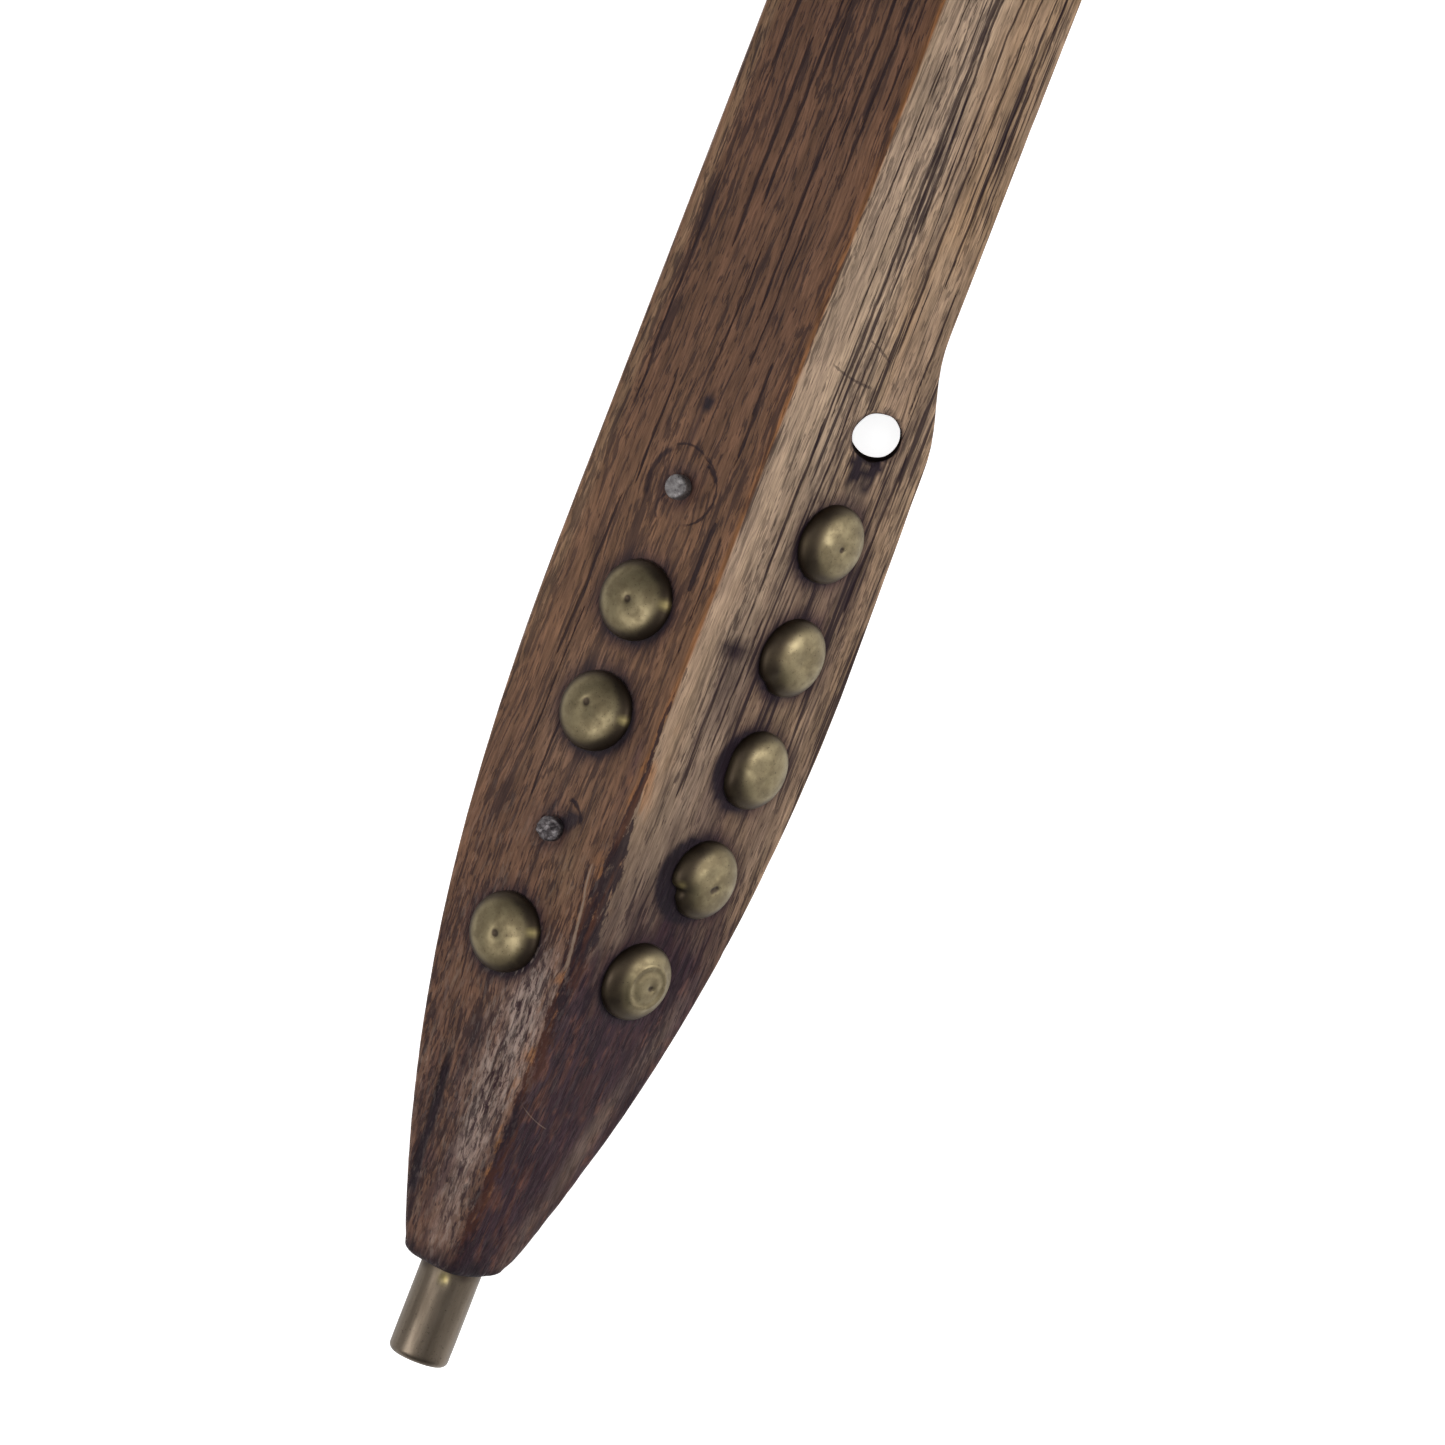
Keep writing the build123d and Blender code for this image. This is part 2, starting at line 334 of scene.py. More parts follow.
def blade_grid():
    """Points, ring by ring, of the blade from the wooden tip to its shoulder."""
    dg = bpy.context.evaluated_depsgraph_get()
    tree = BVHTree.FromObject(nodes["blade_body"], dg)
    corner_steps = (4, CORNER_STEPS, RIDGE_STEPS, CORNER_STEPS, 4)
    tip_round = 1.3
    tip_places = [tip_round * (1 - cos(a)) for a in np.linspace(0.12, pi / 2, 7)]
    places = tip_places + list(np.arange(tip_round + 0.8, 72, 0.8)) + list(np.arange(72, SHOULDER, 1.25))
    places.append(SHOULDER - 0.02)
    rings = []
    for along in places:
        corners = measured_corners(tree, max(along, 0.05))
        wear = edge_radius(along)
        radii = (0.9, wear, ridge_radius(along), wear, 0.9)
        flat, normals = rounded_section(corners, radii, corner_steps, SIDE_STEPS)
        gone = max(tip_round - along, 0)
        inset = tip_round - (tip_round ** 2 - gone ** 2) ** 0.5
        flat = flat - normals * inset
        front = step(0.15, 0.45, normals[:, 1])
        grain = np.where(normals[:, 1] < -0.5, flat[:, 0] + 90,
                         np.sign(flat[:, 0]) * np.hypot(flat[:, 0], corners[2][1] - flat[:, 1]))
        line = np.full(len(flat), float(along))
        sideways = flat[:, 0] / max(abs(corners[0][0]), 1)
        hollow = np.where(sideways < 0, 0.2, 1.5) * np.abs(sideways) ** 2.6 * step(6, 0, along)
        move = displacement(flat[:, 0], line, flat[:, 1], front, grain)
        move *= step(-0.2, 0.6, flat[:, 1] + 2 * front)
        flat = flat + normals * move[:, None]
        flat[:, 1] = np.maximum(flat[:, 1], 0)
        rings.append(np.column_stack([flat[:, 0], line + hollow + TIP_Y, flat[:, 1]]))
    return rings


def end_rings(ring, count=5):
    """Rings that close the wooden tip, drawn in towards its middle, with torn end grain."""
    middle = ring.mean(0)
    inner = []
    for k in range(1, count + 1):
        share = 1 - k / (count + 0.6)
        points = middle + (ring - middle) * share
        points[:, 1] += 0.12 * cloud(points[:, 0] / 0.8, points[:, 2] / 0.8, 41) - 0.05 * k / count
        inner.append(points)
    return inner[::-1]


def hole_cutter():
    """Solid that cuts the hanging hole."""
    steps = 56
    turn = np.linspace(0, 2 * pi, steps, endpoint=False)
    rings = []
    for height in (-2, 3, 6, 9, 12, 15, 18, 32):
        wobble = 0.06 * np.sin(3 * turn + height) + 0.04 * np.sin(7 * turn + 2 * height)
        x = HOLE_ACROSS + (HOLE_RADIUS + wobble) * np.cos(turn)
        y = HOLE_ALONG + TIP_Y + (HOLE_RADIUS + wobble) * np.sin(turn)
        rings.append(np.column_stack([x, y, np.full(steps, float(height))]))
    return mesh_object("hole_cutter", np.concatenate(rings), ring_faces(len(rings), steps), WOOD)


def cut(piece, cutter):
    """Takes the cutter out of the piece and removes the cutter."""
    modifier = piece.modifiers.new("cut", "BOOLEAN")
    modifier.operation = "DIFFERENCE"
    modifier.solver = "EXACT"
    modifier.object = cutter
    dg = bpy.context.evaluated_depsgraph_get()
    result = bpy.data.meshes.new_from_object(piece.evaluated_get(dg))
    piece.modifiers.clear()
    piece.data = result
    bpy.data.objects.remove(cutter)


# ---------------------------------------------------------------- blade colours

def left_face_tone(across, along, patch, fine):
    """Warm oiled brown, partly painted shade on the face turned from the brighter light, darker and plum towards
    the tip.
    """
    light = 0.35 + 0.40 * patch + 0.70 * bump(along, 106, 34) - 0.30 * step(205, 235, along) + 0.25 * fine
    tone = lerp(BROWN, WARM_BROWN, light)
    plum = 0.06 + 0.30 * step(70, 8, along) + 0.10 * bump(along, 78, 16) + 0.22 * fine + 0.10 * patch
    tone = lerp(tone, PLUM, plum)
    mottle = step(0.05, 0.65, cloud(along / 4.2, across / 1.1, 59)) * step(66, 40, along)
    tone = lerp(tone, PLUM, 0.55 * mottle)
    flecks = step(0.15, 0.6, cloud(along / 3.4, across / 0.8 + 9, 60)) * step(62, 40, along)
    tone = lerp(tone, GREY_TAN, 0.24 * flecks)
    blotch = step(0.10, 0.45, cloud(along / 13, across / 3.4 + 4, 63)) * step(60, 36, along)
    tone = lerp(tone, PLUM, 0.50 * blotch)
    tone = lerp(tone, OCHRE, 0.30 * bump(across, -6.0, 2.4) * bump(along, 70, 9) * (0.8 + fine))
    tone = lerp(tone, PLUM, 0.55 * bump(across, -2.2, 0.8) * bump(along, 87, 7) * (0.8 + fine))
    tone = lerp(tone, PORE, 0.95 * tip_scar(across, along))
    grey = bump(across, -13.5, 5.0) * bump(along, 92, 10)
    return lerp(tone, GREY_TAN, 0.22 * grey)


def right_face_tone(across, along, patch, fine):
    """Bare tan wood by the ridge and the handle, its light tone partly painted light on the face the brighter light
    falls on, stained plum and red brown towards the tip.
    """
    tone = lerp(TAN, OCHRE, step(5, 16, across) + 0.45 * patch + 0.25 * fine)
    tone = lerp(tone, GREY_TAN, 0.30 + 0.45 * cloud(along / 21, across / 3.1, 53))
    tone = lerp(tone, OCHRE, 0.45 * bump(across, 2.4, 2.6) * bump(along, 92, 26))
    plum = np.interp(along, [0, 40, 58, 74, 90, 112, 140, 240], [1.15, 1.13, 0.84, 0.55, 0.44, 0.30, 0.10, 0.0])
    band = bump(across, 2.0, 2.8)
    plum = plum * (1 - 0.75 * band * step(66, 92, along)) + 0.20 * fine + 0.14 * patch
    plum = plum + 0.34 * bump(across, 18, 6.5) * step(152, 122, along)
    plum = plum - 0.34 * step(12, 19, across) * step(40, 66, along) * step(125, 100, along)
    plum = plum - 0.14 * bump(across, 8.2 + 0.16 * along, 2.0) * step(66, 40, along)
    tone = lerp(tone, PLUM, plum)
    strokes = step(-0.05, 0.30, cloud(along / 4.6, across / 0.8, 54))
    red = (0.35 + 0.65 * bump(across, 3.0, 3.6)) * step(76, 34, along) * strokes
    tone = lerp(tone, RED_BROWN, 0.62 * red)
    specks = step(0.28, 0.55, cloud(along / 2.2, across / 0.7, 62)) * step(76, 40, along)
    tone = lerp(tone, RED_BROWN + np.array((0.05, 0.02, 0.01)), 0.35 * specks)
    rim = bump(across, 6.9 + 0.235 * along, 1.5) * step(64, 40, along) * (0.5 + 0.5 * patch)
    return lerp(tone, GREY_TAN, 0.55 * rim)


def ridge_tone(tone, across, along, front, fine, patch):
    """Orange rubbed line on the ridge by the handle, torn fibres and a dark core by the tip."""
    line = bump(across, -0.30, 0.40) * step(74, 92, along) * (0.80 + 0.25 * fine)
    tone = lerp(tone, RIDGE_ORANGE, 0.85 * line * front)
    glow = bump(across, -1.3, 1.4) * step(96, 150, along) * 0.12
    tone = lerp(tone, RIDGE_ORANGE, glow * front)
    torn = torn_zone(across, along) * front
    tone = lerp(tone, SCUFF, torn * (0.90 + 0.7 * fine))
    ember = step(0.30, 0.55, value_noise(along / 2.6, across / 0.7, 56)) * bump(across, 0.1, 1.9)
    ember = ember * step(104, 88, along) * step(5, 14, along) * front
    return lerp(tone, RIDGE_ORANGE, 0.70 * ember)


def dark_heart(across, along, front):
    """How dark and rotten the wood is on the ridge: a ragged core between the tip and mid-length."""
    middle = np.interp(along, [0, 20, 50, 60, 78, 92, 104], [0.9, 0.9, 0.9, 0.9, 0.5, -0.1, -0.3])
    half = np.interp(along, [0, 8, 30, 50, 60, 76, 84, 104], [0.0, 1.0, 1.3, 1.4, 2.1, 1.5, 0.5, 0.12])
    middle = middle + 0.3 * value_noise(along / 4, along * 0, 55)
    return step(1.5, 0.5, np.abs(across - middle) / (half + 0.05)) * step(105, 101, along) * front


# Painted shadow beside a lifted or pushed-in cap, a near-black crescent: shift across and reach in millimetres
CAP_PAINTED_SHADOWS = [
    ("r1", -0.3, 6.3), ("r2", -0.2, 6.3), ("r3", -1.5, 6.6), ("r4", -2.3, 7.0), ("r5", -0.3, 6.3),
    ("l2", 0.2, 6.3), ("l3", 0.4, 6.4), ("l5", 0.2, 6.3),
]


def stained_tone(tone, across, along, height, front, fine):
    """Stain and painted shade round the studs, in the hole and by pin l4; dirt below the hole; dark knot and pit.
    """
    # Plum halo round each cap and bare pin: partly stain, partly painted contact shade.
    for name in CAPPED + UNCAPPED:
        away = distance_to(STUDS[name]["seat"], across, along, height)
        reach = 6.5 if name in CAPPED else 2.2
        halo = step(reach + 3.2, reach - 0.2, away) * (0.85 + 0.35 * fine)
        tone = lerp(tone, PLUM, (0.92 if name in CAPPED else 0.75) * halo)
    # Painted shadow: a near-black crescent beside each lifted or pushed-in cap.
    for name, shift, reach in CAP_PAINTED_SHADOWS:
        seat = STUDS[name]["seat"] + shift * STUDS[name]["across"] - 0.5 * STUDS[name]["along"]
        shade = step(reach + 1.1, reach, distance_to(seat, across, along, height))
        tone = lerp(tone, NEAR_BLACK, 0.95 * shade)
    hole_away = np.hypot(across - HOLE_ACROSS, along - HOLE_ALONG)
    rim_mark = bump(hole_away, HOLE_RADIUS + 0.2, 0.35) * (0.6 + 0.4 * fine)
    tone = lerp(tone, PLUM, 0.7 * rim_mark)
    width = 2.8 + 0.6 * value_noise(along / 1.4, along * 0 + 2, 57)
    stain = step(width, width - 0.7, np.abs(across - HOLE_ACROSS))
    stain = stain * (0.35 + 0.65 * step(HOLE_ALONG - 9.5, HOLE_ALONG - 7.6, along + 1.2 * fine))
    stain = stain * step(HOLE_ALONG - 13, HOLE_ALONG - 10, along)
    stain = stain * step(HOLE_ALONG - 1, HOLE_ALONG - 3.0, along) * front
    paler = step(0.35, 0.75, value_noise(along / 1.3, across / 0.8, 58))
    tone = lerp(tone, PORE, stain * (1 - 0.40 * paler))
    # Painted shade: the hole's wall near-black.
    tone = lerp(tone, NEAR_BLACK, step(HOLE_RADIUS + 0.15, HOLE_RADIUS - 0.05, hole_away))
    knot = np.hypot((across + 11.6) / 1.1, (along - 145.4) / 1.9)
    tone = lerp(tone, NEAR_BLACK, 0.95 * step(1.15, 0.5, knot) * front)
    tail = bump(across, -12.0, 0.35) * step(124, 140, along) * step(146, 143, along)
    tone = lerp(tone, PORE, 0.7 * tail * front)
    pit = np.hypot((across - 6.2) / 1.5, (along - 110.4) / 1.2)
    tone = lerp(tone, PORE, 0.90 * step(2.2, 0.5, pit + 0.6 * fine) * front)
    # Painted shade: a near-black patch for the recess beside pin l4.
    slant = 0.45 * (along - 75.4)
    recess_shade = np.hypot((across + 8.4 - slant) / 1.75, (along - 75.4) / 2.6)
    tone = lerp(tone, NEAR_BLACK, 0.92 * step(1.2, 0.7, recess_shade + 0.25 * fine) * front)
    below_pin = bump(across, -11.4, 0.45) * step(70, 75, along) * step(80, 77, along)
    tone = lerp(tone, PORE, 0.8 * below_pin * front)
    below_pit = bump(across, 6.8, 1.7) * step(95, 101, along) * step(113, 108, along)
    return lerp(tone, PLUM, 0.75 * below_pit * (0.8 + 0.4 * fine) * front)


def blade_colours(across, along, height, normal_z):
    """Per point: how open the pores are, how dull, torn and rotten the wood is, and its ground colour, painted
    light and shade included.
    """
    front = step(0.15, 0.45, normal_z)
    patch = cloud(along / 16, across / 4, 51)
    fine = cloud(along / 5, across / 1.2, 52)
    right = step(-0.12, 0.12, across) * front
    left_tone = left_face_tone(across, along, patch, fine)
    right_tone = right_face_tone(across, along, patch, fine)
    # Dark left face and light right face: partly oiled against bare wood, partly painted shade and light from the
    # brighter light on the right.
    tone = lerp(left_tone, right_tone, right)
    tone = ridge_tone(tone, across, along, front, fine, patch)
    edge = bump(across, -24.6, 0.9) * step(80, 120, along)
    tone = lerp(tone, OCHRE, 0.45 * edge)
    tone = stained_tone(tone, across, along, height, front, fine)
    tone = lerp(tone, PORE, 0.9 * step(4.2, 1.2, along + 1.8 * fine))
    back = step(-0.3, -0.8, normal_z)
    tone = lerp(tone, lerp(WARM_BROWN, GREY_TAN, 0.5 + 0.5 * patch), 0.6 * back)

    torn = torn_zone(across, along) * front
    worn = step(92, 62, along)
    open_grain = 0.80 + 0.20 * right * step(60, 100, along) - 0.16 * (1 - right) * bump(along, 105, 28)
    open_grain = open_grain * (1 - 0.55 * bump(across, 2.4, 2.2) * step(60, 90, along))
    open_grain = open_grain * (1 - 0.35 * step(50, 20, along) * right)
    dull = 0.25 + 0.6 * right * step(40, 80, along) + 0.6 * torn + 0.2 * worn
    heart = dark_heart(across, along, front) * np.interp(along, [0, 45, 60, 80, 104], [0.80, 0.80, 0.95, 0.95, 0.8])
    roughened = torn + 0.17 * worn * (1 - right) + 0.05 * worn * right
    return {"open_grain": open_grain, "dull": dull, "torn": roughened, "heart": heart}, tone


def paint_blade(piece):
    """Stores the blade's colours as attributes on its points."""
    mesh = piece.data
    count = len(mesh.vertices)
    co = np.empty(count * 3, np.float32)
    normal = np.empty(count * 3, np.float32)
    mesh.vertices.foreach_get("co", co)
    mesh.vertices.foreach_get("normal", normal)
    co = co.reshape(-1, 3).astype(float) / MM
    normal_z = normal.reshape(-1, 3)[:, 2].astype(float)
    amounts, tone = blade_colours(co[:, 0], co[:, 1] - TIP_Y, co[:, 2], normal_z)
    colour = np.column_stack([tone, np.ones(count)]).astype(np.float32)
    mesh.attributes.new("ground", "FLOAT_COLOR", "POINT").data.foreach_set("color", colour.ravel())
    crack = crack_distance(co[:, 0], co[:, 1] - TIP_Y) / 4
    amounts["crack"] = np.where(normal_z > 0.3, crack, 1.0)
    for name, values in amounts.items():
        values = np.clip(values, 0, 1).astype(np.float32)
        mesh.attributes.new(name, "FLOAT", "POINT").data.foreach_set("value", values)


# ---------------------------------------------------------------- materials

def new_material(name):
    """Empty node material with a principled shader."""
    material = bpy.data.materials.new(name)
    material.use_nodes = True
    tree = material.node_tree
    return material, tree, tree.nodes["Principled BSDF"]


def add(tree, kind, settings=None, **inputs):
    """New node with its settings, and its inputs set or linked by socket name."""
    node = tree.nodes.new(kind)
    for key, value in (settings or {}).items():
        setattr(node, key, value)
    for key, value in inputs.items():
        socket = node.inputs[int(key[1:])] if key[0] == "i" and key[1:].isdigit() else node.inputs[key]
        if isinstance(value, bpy.types.NodeSocket):
            tree.links.new(value, socket)
        else:
            socket.default_value = value
    return node


def stretched_noise(tree, scale, detail=3.0, rough=0.55, shift=0.0, place=None):
    """Noise in the object's own space, with a scale per axis, from 0 to 1."""
    place = place or add(tree, "ShaderNodeTexCoord").outputs["Object"]
    mapping = add(tree, "ShaderNodeMapping", Vector=place, Scale=scale, Location=(shift,) * 3)
    noise = add(tree, "ShaderNodeTexNoise", Vector=mapping.outputs[0], Scale=1.0, Detail=detail,
                Roughness=rough)
    return noise.outputs["Fac"]


def ranged(tree, value, low, high, to_low=0.0, to_high=1.0):
    """Value rescaled from one range to another and held inside it."""
    node = add(tree, "ShaderNodeMapRange", {"interpolation_type": "SMOOTHSTEP"}, Value=value)
    node.inputs["From Min"].default_value = low
    node.inputs["From Max"].default_value = high
    node.inputs["To Min"].default_value = to_low
    node.inputs["To Max"].default_value = to_high
    return node.outputs[0]


def maths(tree, operation, a, b):
    """Sum, product and so on of two values."""
    return add(tree, "ShaderNodeMath", {"operation": operation}, i0=a, i1=b).outputs[0]


def mixed(tree, amount, a, b, blend="MIX"):
    """Mix of two colours."""
    node = add(tree, "ShaderNodeMix", {"data_type": "RGBA", "blend_type": blend}, i0=amount)
    for socket, value in ((node.inputs[6], a), (node.inputs[7], b)):
        if isinstance(value, bpy.types.NodeSocket):
            tree.links.new(value, socket)
        else:
            socket.default_value = (*value[:3], 1.0)
    return node.outputs[2]


def bumped(tree, shader, height, strength, distance):
    """Fine relief on the shader's normal."""
    node = add(tree, "ShaderNodeBump", Height=height, Strength=strength, Distance=distance)
    tree.links.new(node.outputs[0], shader.inputs["Normal"])


def face_point(across, along):
    """Point of the CAD blade's face, in metres, under a place given across and along."""
    dg = bpy.context.evaluated_depsgraph_get()
    tree = BVHTree.FromObject(nodes["blade_body"], dg)
    return tree.ray_cast(Vector((across * MM, (along + TIP_Y) * MM, 0.2)), Vector((0, 0, -1)))[0]


def arc_mark(tree, first, middle, last, width, strength, ragged=0.35):
    """Mask of a thin curved mark through three places (across, along) on a face."""
    a, b, c = (face_point(*spot) for spot in (first, middle, last))
    ab, ac = b - a, c - a
    normal = ab.cross(ac)
    centre = a + (normal.cross(ab) * ac.length_squared + ac.cross(normal) * ab.length_squared) / (
        2 * normal.length_squared)
    place = add(tree, "ShaderNodeTexCoord").outputs["Object"]
    from_centre = add(tree, "ShaderNodeVectorMath", {"operation": "DISTANCE"}, i0=place, i1=tuple(centre))
    from_middle = add(tree, "ShaderNodeVectorMath", {"operation": "DISTANCE"}, i0=place, i1=tuple(b))
    off = maths(tree, "SUBTRACT", from_centre.outputs["Value"], (a - centre).length)
    off = maths(tree, "ABSOLUTE", off, 0.0)
    noise = stretched_noise(tree, (900.0, 600.0, 900.0), 2.0, 0.5, 4.0)
    off = maths(tree, "ADD", off, maths(tree, "MULTIPLY", maths(tree, "SUBTRACT", noise, 0.5), ragged * MM * 2))
    half = max((a - b).length, (c - b).length)
    shown = ranged(tree, from_middle.outputs["Value"], half, half * 0.75)
    line = ranged(tree, off, width * MM, width * MM * 0.3, 0.0, strength)
    return maths(tree, "MULTIPLY", line, shown)


def strongest(tree, masks):
    """Largest of several masks."""
    total = masks[0]
    for mask in masks[1:]:
        total = maths(tree, "MAXIMUM", total, mask)
    return total


# Dark marks pressed into the wood: three places (across, along), a half-width and a strength
DARK_ARCS = [
    ((-9.6, 137.4), (-5.4, 132.0), (-9.0, 125.6), 0.30, 0.9),
    ((-8.2, 136.2), (-6.9, 135.4), (-5.9, 134.0), 0.60, 1.0),
    ((-13.9, 136.9), (-16.0, 132.6), (-15.7, 128.2), 0.65, 0.9),
    ((-14.2, 137.0), (-11.6, 138.1), (-9.0, 137.3), 0.32, 0.8),
    ((-12.6, 129.6), (-13.4, 127.4), (-12.9, 125.4), 0.32, 0.8),
    ((-9.6, 79.0), (-7.5, 78.1), (-6.5, 75.9), 0.50, 1.0),
    ((-2.9, 71.4), (-2.7, 68.2), (-2.1, 65.2), 0.22, 0.9),
    ((-2.1, 65.2), (-1.6, 60.0), (-1.2, 53.0), 0.22, 0.9),
    ((4.2, 158.3), (8.0, 156.9), (12.1, 156.4), 0.30, 0.65),
    ((8.5, 163.7), (10.9, 162.5), (13.2, 161.0), 0.30, 0.65),
]
# Pale scratches
PALE_SCRATCHES = [
    ((-15.6, 213.6), (-13.4, 216.6), (-10.9, 218.0), 0.16, 0.28),
    ((-20.2, 209.3), (-19.2, 210.5), (-17.8, 211.6), 0.14, 0.21),
    ((1.6, 30.3), (3.6, 28.9), (6.4, 27.7), 0.12, 0.35),
    ((-2.5, 71.4), (-2.3, 68.2), (-1.7, 65.2), 0.26, 0.75),
    ((-1.7, 65.2), (-1.2, 60.0), (-0.8, 53.0), 0.26, 0.75),
]


def vessels(tree, open_grain, place):
    """Mask of the dark open pores: bunches of slivers, short dashes and long hairlines."""
    bunches = stretched_noise(tree, (230.0, 14.0, 230.0), 2.0, 0.5, 17.0)
    push = maths(tree, "MULTIPLY", maths(tree, "SUBTRACT", bunches, 0.5), 0.42)
    short = stretched_noise(tree, (1150.0, 84.0, 1150.0), 2.0, 0.55, 3.0, place)
    long = stretched_noise(tree, (1000.0, 22.0, 1000.0), 2.0, 0.55, 31.0, place)
    on_tan = ranged(tree, open_grain, 0.84, 0.96)
    difference = maths(tree, "MULTIPLY", maths(tree, "SUBTRACT", long, short), on_tan)
    slivers = maths(tree, "ADD", maths(tree, "ADD", short, difference), push)
    dashes = maths(tree, "ADD", stretched_noise(tree, (2300.0, 300.0, 2300.0), 2.0, 0.55, 5.0, place), push)
    hairs = stretched_noise(tree, (620.0, 13.0, 620.0), 1.0, 0.4, 8.0, place)
    hairs = maths(tree, "ABSOLUTE", maths(tree, "SUBTRACT", hairs, 0.5), 0.0)
    gaps = ranged(tree, stretched_noise(tree, (500.0, 70.0, 500.0), 1.0, 0.5, 21.0, place), 0.47, 0.56)
    hairs = maths(tree, "MULTIPLY", ranged(tree, hairs, 0.026, 0.008), gaps)
    masks = [maths(tree, "MULTIPLY", ranged(tree, slivers, 0.575, 0.635), 0.86),
             maths(tree, "MULTIPLY", ranged(tree, dashes, 0.55, 0.63), ranged(tree, on_tan, 0.0, 1.0, 0.78, 0.50)),
             maths(tree, "MULTIPLY", hairs, 0.66)]
    return maths(tree, "MULTIPLY", strongest(tree, masks), open_grain)


def wavy_place(tree):
    """Object coordinates bent gently along the grain."""
    place = add(tree, "ShaderNodeTexCoord").outputs["Object"]
    wave = stretched_noise(tree, (40.0, 30.0, 40.0), 2.0, 0.5, 2.0)
    bend = maths(tree, "MULTIPLY", maths(tree, "SUBTRACT", wave, 0.5), 0.0022)
    shift = add(tree, "ShaderNodeCombineXYZ", X=bend, Y=0.0, Z=bend)
    return add(tree, "ShaderNodeVectorMath", {"operation": "ADD"}, i0=place, i1=shift.outputs[0]).outputs[0]


def blade_wood():
    """Hardwood of the blade: ground colour from the mesh, with fibres, pores and torn grain."""
    material, tree, shader = new_material("blade_wood")
    ground = add(tree, "ShaderNodeAttribute", {"attribute_name": "ground"}).outputs["Color"]
    open_grain = add(tree, "ShaderNodeAttribute", {"attribute_name": "open_grain"}).outputs["Fac"]
    dull = add(tree, "ShaderNodeAttribute", {"attribute_name": "dull"}).outputs["Fac"]
    torn = add(tree, "ShaderNodeAttribute", {"attribute_name": "torn"}).outputs["Fac"]
    crack = add(tree, "ShaderNodeAttribute", {"attribute_name": "crack"}).outputs["Fac"]
    place = wavy_place(tree)

    fibre = stretched_noise(tree, (3000.0, 190.0, 3000.0), 3.0, 0.65, 0.0, place)
    cloudy = stretched_noise(tree, (420.0, 60.0, 420.0), 3.0, 0.6, 7.0, place)
    tears = stretched_noise(tree, (1350.0, 330.0, 1350.0), 4.0, 0.62, 13.0)

    factor = maths(tree, "MULTIPLY", ranged(tree, fibre, 0.25, 0.75, 0.62, 1.38),
                   ranged(tree, cloudy, 0.3, 0.7, 0.78, 1.22))
    grey = add(tree, "ShaderNodeCombineColor", Red=factor, Green=factor, Blue=factor).outputs[0]
    colour = mixed(tree, 1.0, ground, grey, "MULTIPLY")
    pores = vessels(tree, open_grain, place)
    jitter = maths(tree, "MULTIPLY", maths(tree, "SUBTRACT", fibre, 0.5), 1.6)
    crack = maths(tree, "ADD", maths(tree, "MULTIPLY", crack, 4.0), jitter)
    marks = [maths(tree, "MULTIPLY", ranged(tree, crack, 1.25, 0.55), 0.92)]
    marks += [arc_mark(tree, *arc) for arc in DARK_ARCS]
    marks = strongest(tree, marks)
    colour = mixed(tree, pores, colour, PORE)
    colour = mixed(tree, maths(tree, "MULTIPLY", marks, 0.88), colour, PORE)
    heart = add(tree, "ShaderNodeAttribute", {"attribute_name": "heart"}).outputs["Fac"]
    rot = stretched_noise(tree, (1100.0, 330.0, 1100.0), 4.0, 0.65, 23.0)
    heart = maths(tree, "ADD", heart, maths(tree, "MULTIPLY", maths(tree, "SUBTRACT", rot, 0.5), 2.4))
    decayed = mixed(tree, ranged(tree, cloudy, 0.42, 0.58), PORE, DARK_RED)
    colour = mixed(tree, ranged(tree, heart, 0.48, 0.80, 0.0, 0.90), colour, decayed)
    tear_dark = maths(tree, "MULTIPLY", ranged(tree, tears, 0.46, 0.39), torn)
    colour = mixed(tree, maths(tree, "MULTIPLY", tear_dark, 0.85), colour, PLUM)
    tear_light = maths(tree, "MULTIPLY", ranged(tree, tears, 0.53, 0.62), torn)
    colour = mixed(tree, maths(tree, "MULTIPLY", tear_light, 0.50), colour, PALE_SCUFF)
    scratches = strongest(tree, [arc_mark(tree, *arc, 0.1) for arc in PALE_SCRATCHES])
    colour = mixed(tree, scratches, colour, GREY_TAN)
    tree.links.new(colour, shader.inputs["Base Color"])

    gloss = ranged(tree, dull, 0.0, 1.0, 0.48, 0.85)
    sunk = maths(tree, "MAXIMUM", pores, marks)
    tree.links.new(maths(tree, "ADD", gloss, maths(tree, "MULTIPLY", sunk, 0.12)), shader.inputs["Roughness"])
    shader.inputs["Specular IOR Level"].default_value = 0.16
    relief = maths(tree, "SUBTRACT", maths(tree, "MULTIPLY", fibre, 0.35), sunk)
    relief = maths(tree, "ADD", relief, maths(tree, "MULTIPLY", maths(tree, "MULTIPLY", tears, torn), 2.6))
    bumped(tree, shader, relief, 0.6, 0.00028)
    return material


def plain_wood(name, light, dark, scale):
    """Wood whose ground colour is made in the shader, with the grain along one axis."""
    material, tree, shader = new_material(name)
    broad = stretched_noise(tree, tuple(s * 0.12 for s in scale), 3.0, 0.6, 11.0)
    ground = mixed(tree, ranged(tree, broad, 0.3, 0.7), dark, light)
    fibre = stretched_noise(tree, scale, 4.0, 0.6)
    pore = stretched_noise(tree, tuple(s * 2.0 for s in scale), 1.5, 0.5, 3.0)
    mask = ranged(tree, pore, 0.57, 0.70)
    colour = mixed(tree, ranged(tree, fibre, 0.35, 0.65, 0.0, 0.6), ground, dark)
    colour = mixed(tree, maths(tree, "MULTIPLY", mask, 0.8), colour, PORE)
    tree.links.new(colour, shader.inputs["Base Color"])
    tree.links.new(ranged(tree, fibre, 0.3, 0.7, 0.38, 0.55), shader.inputs["Roughness"])
    bumped(tree, shader, maths(tree, "SUBTRACT", maths(tree, "MULTIPLY", fibre, 0.5), mask), 0.5, 0.0002)
    return material


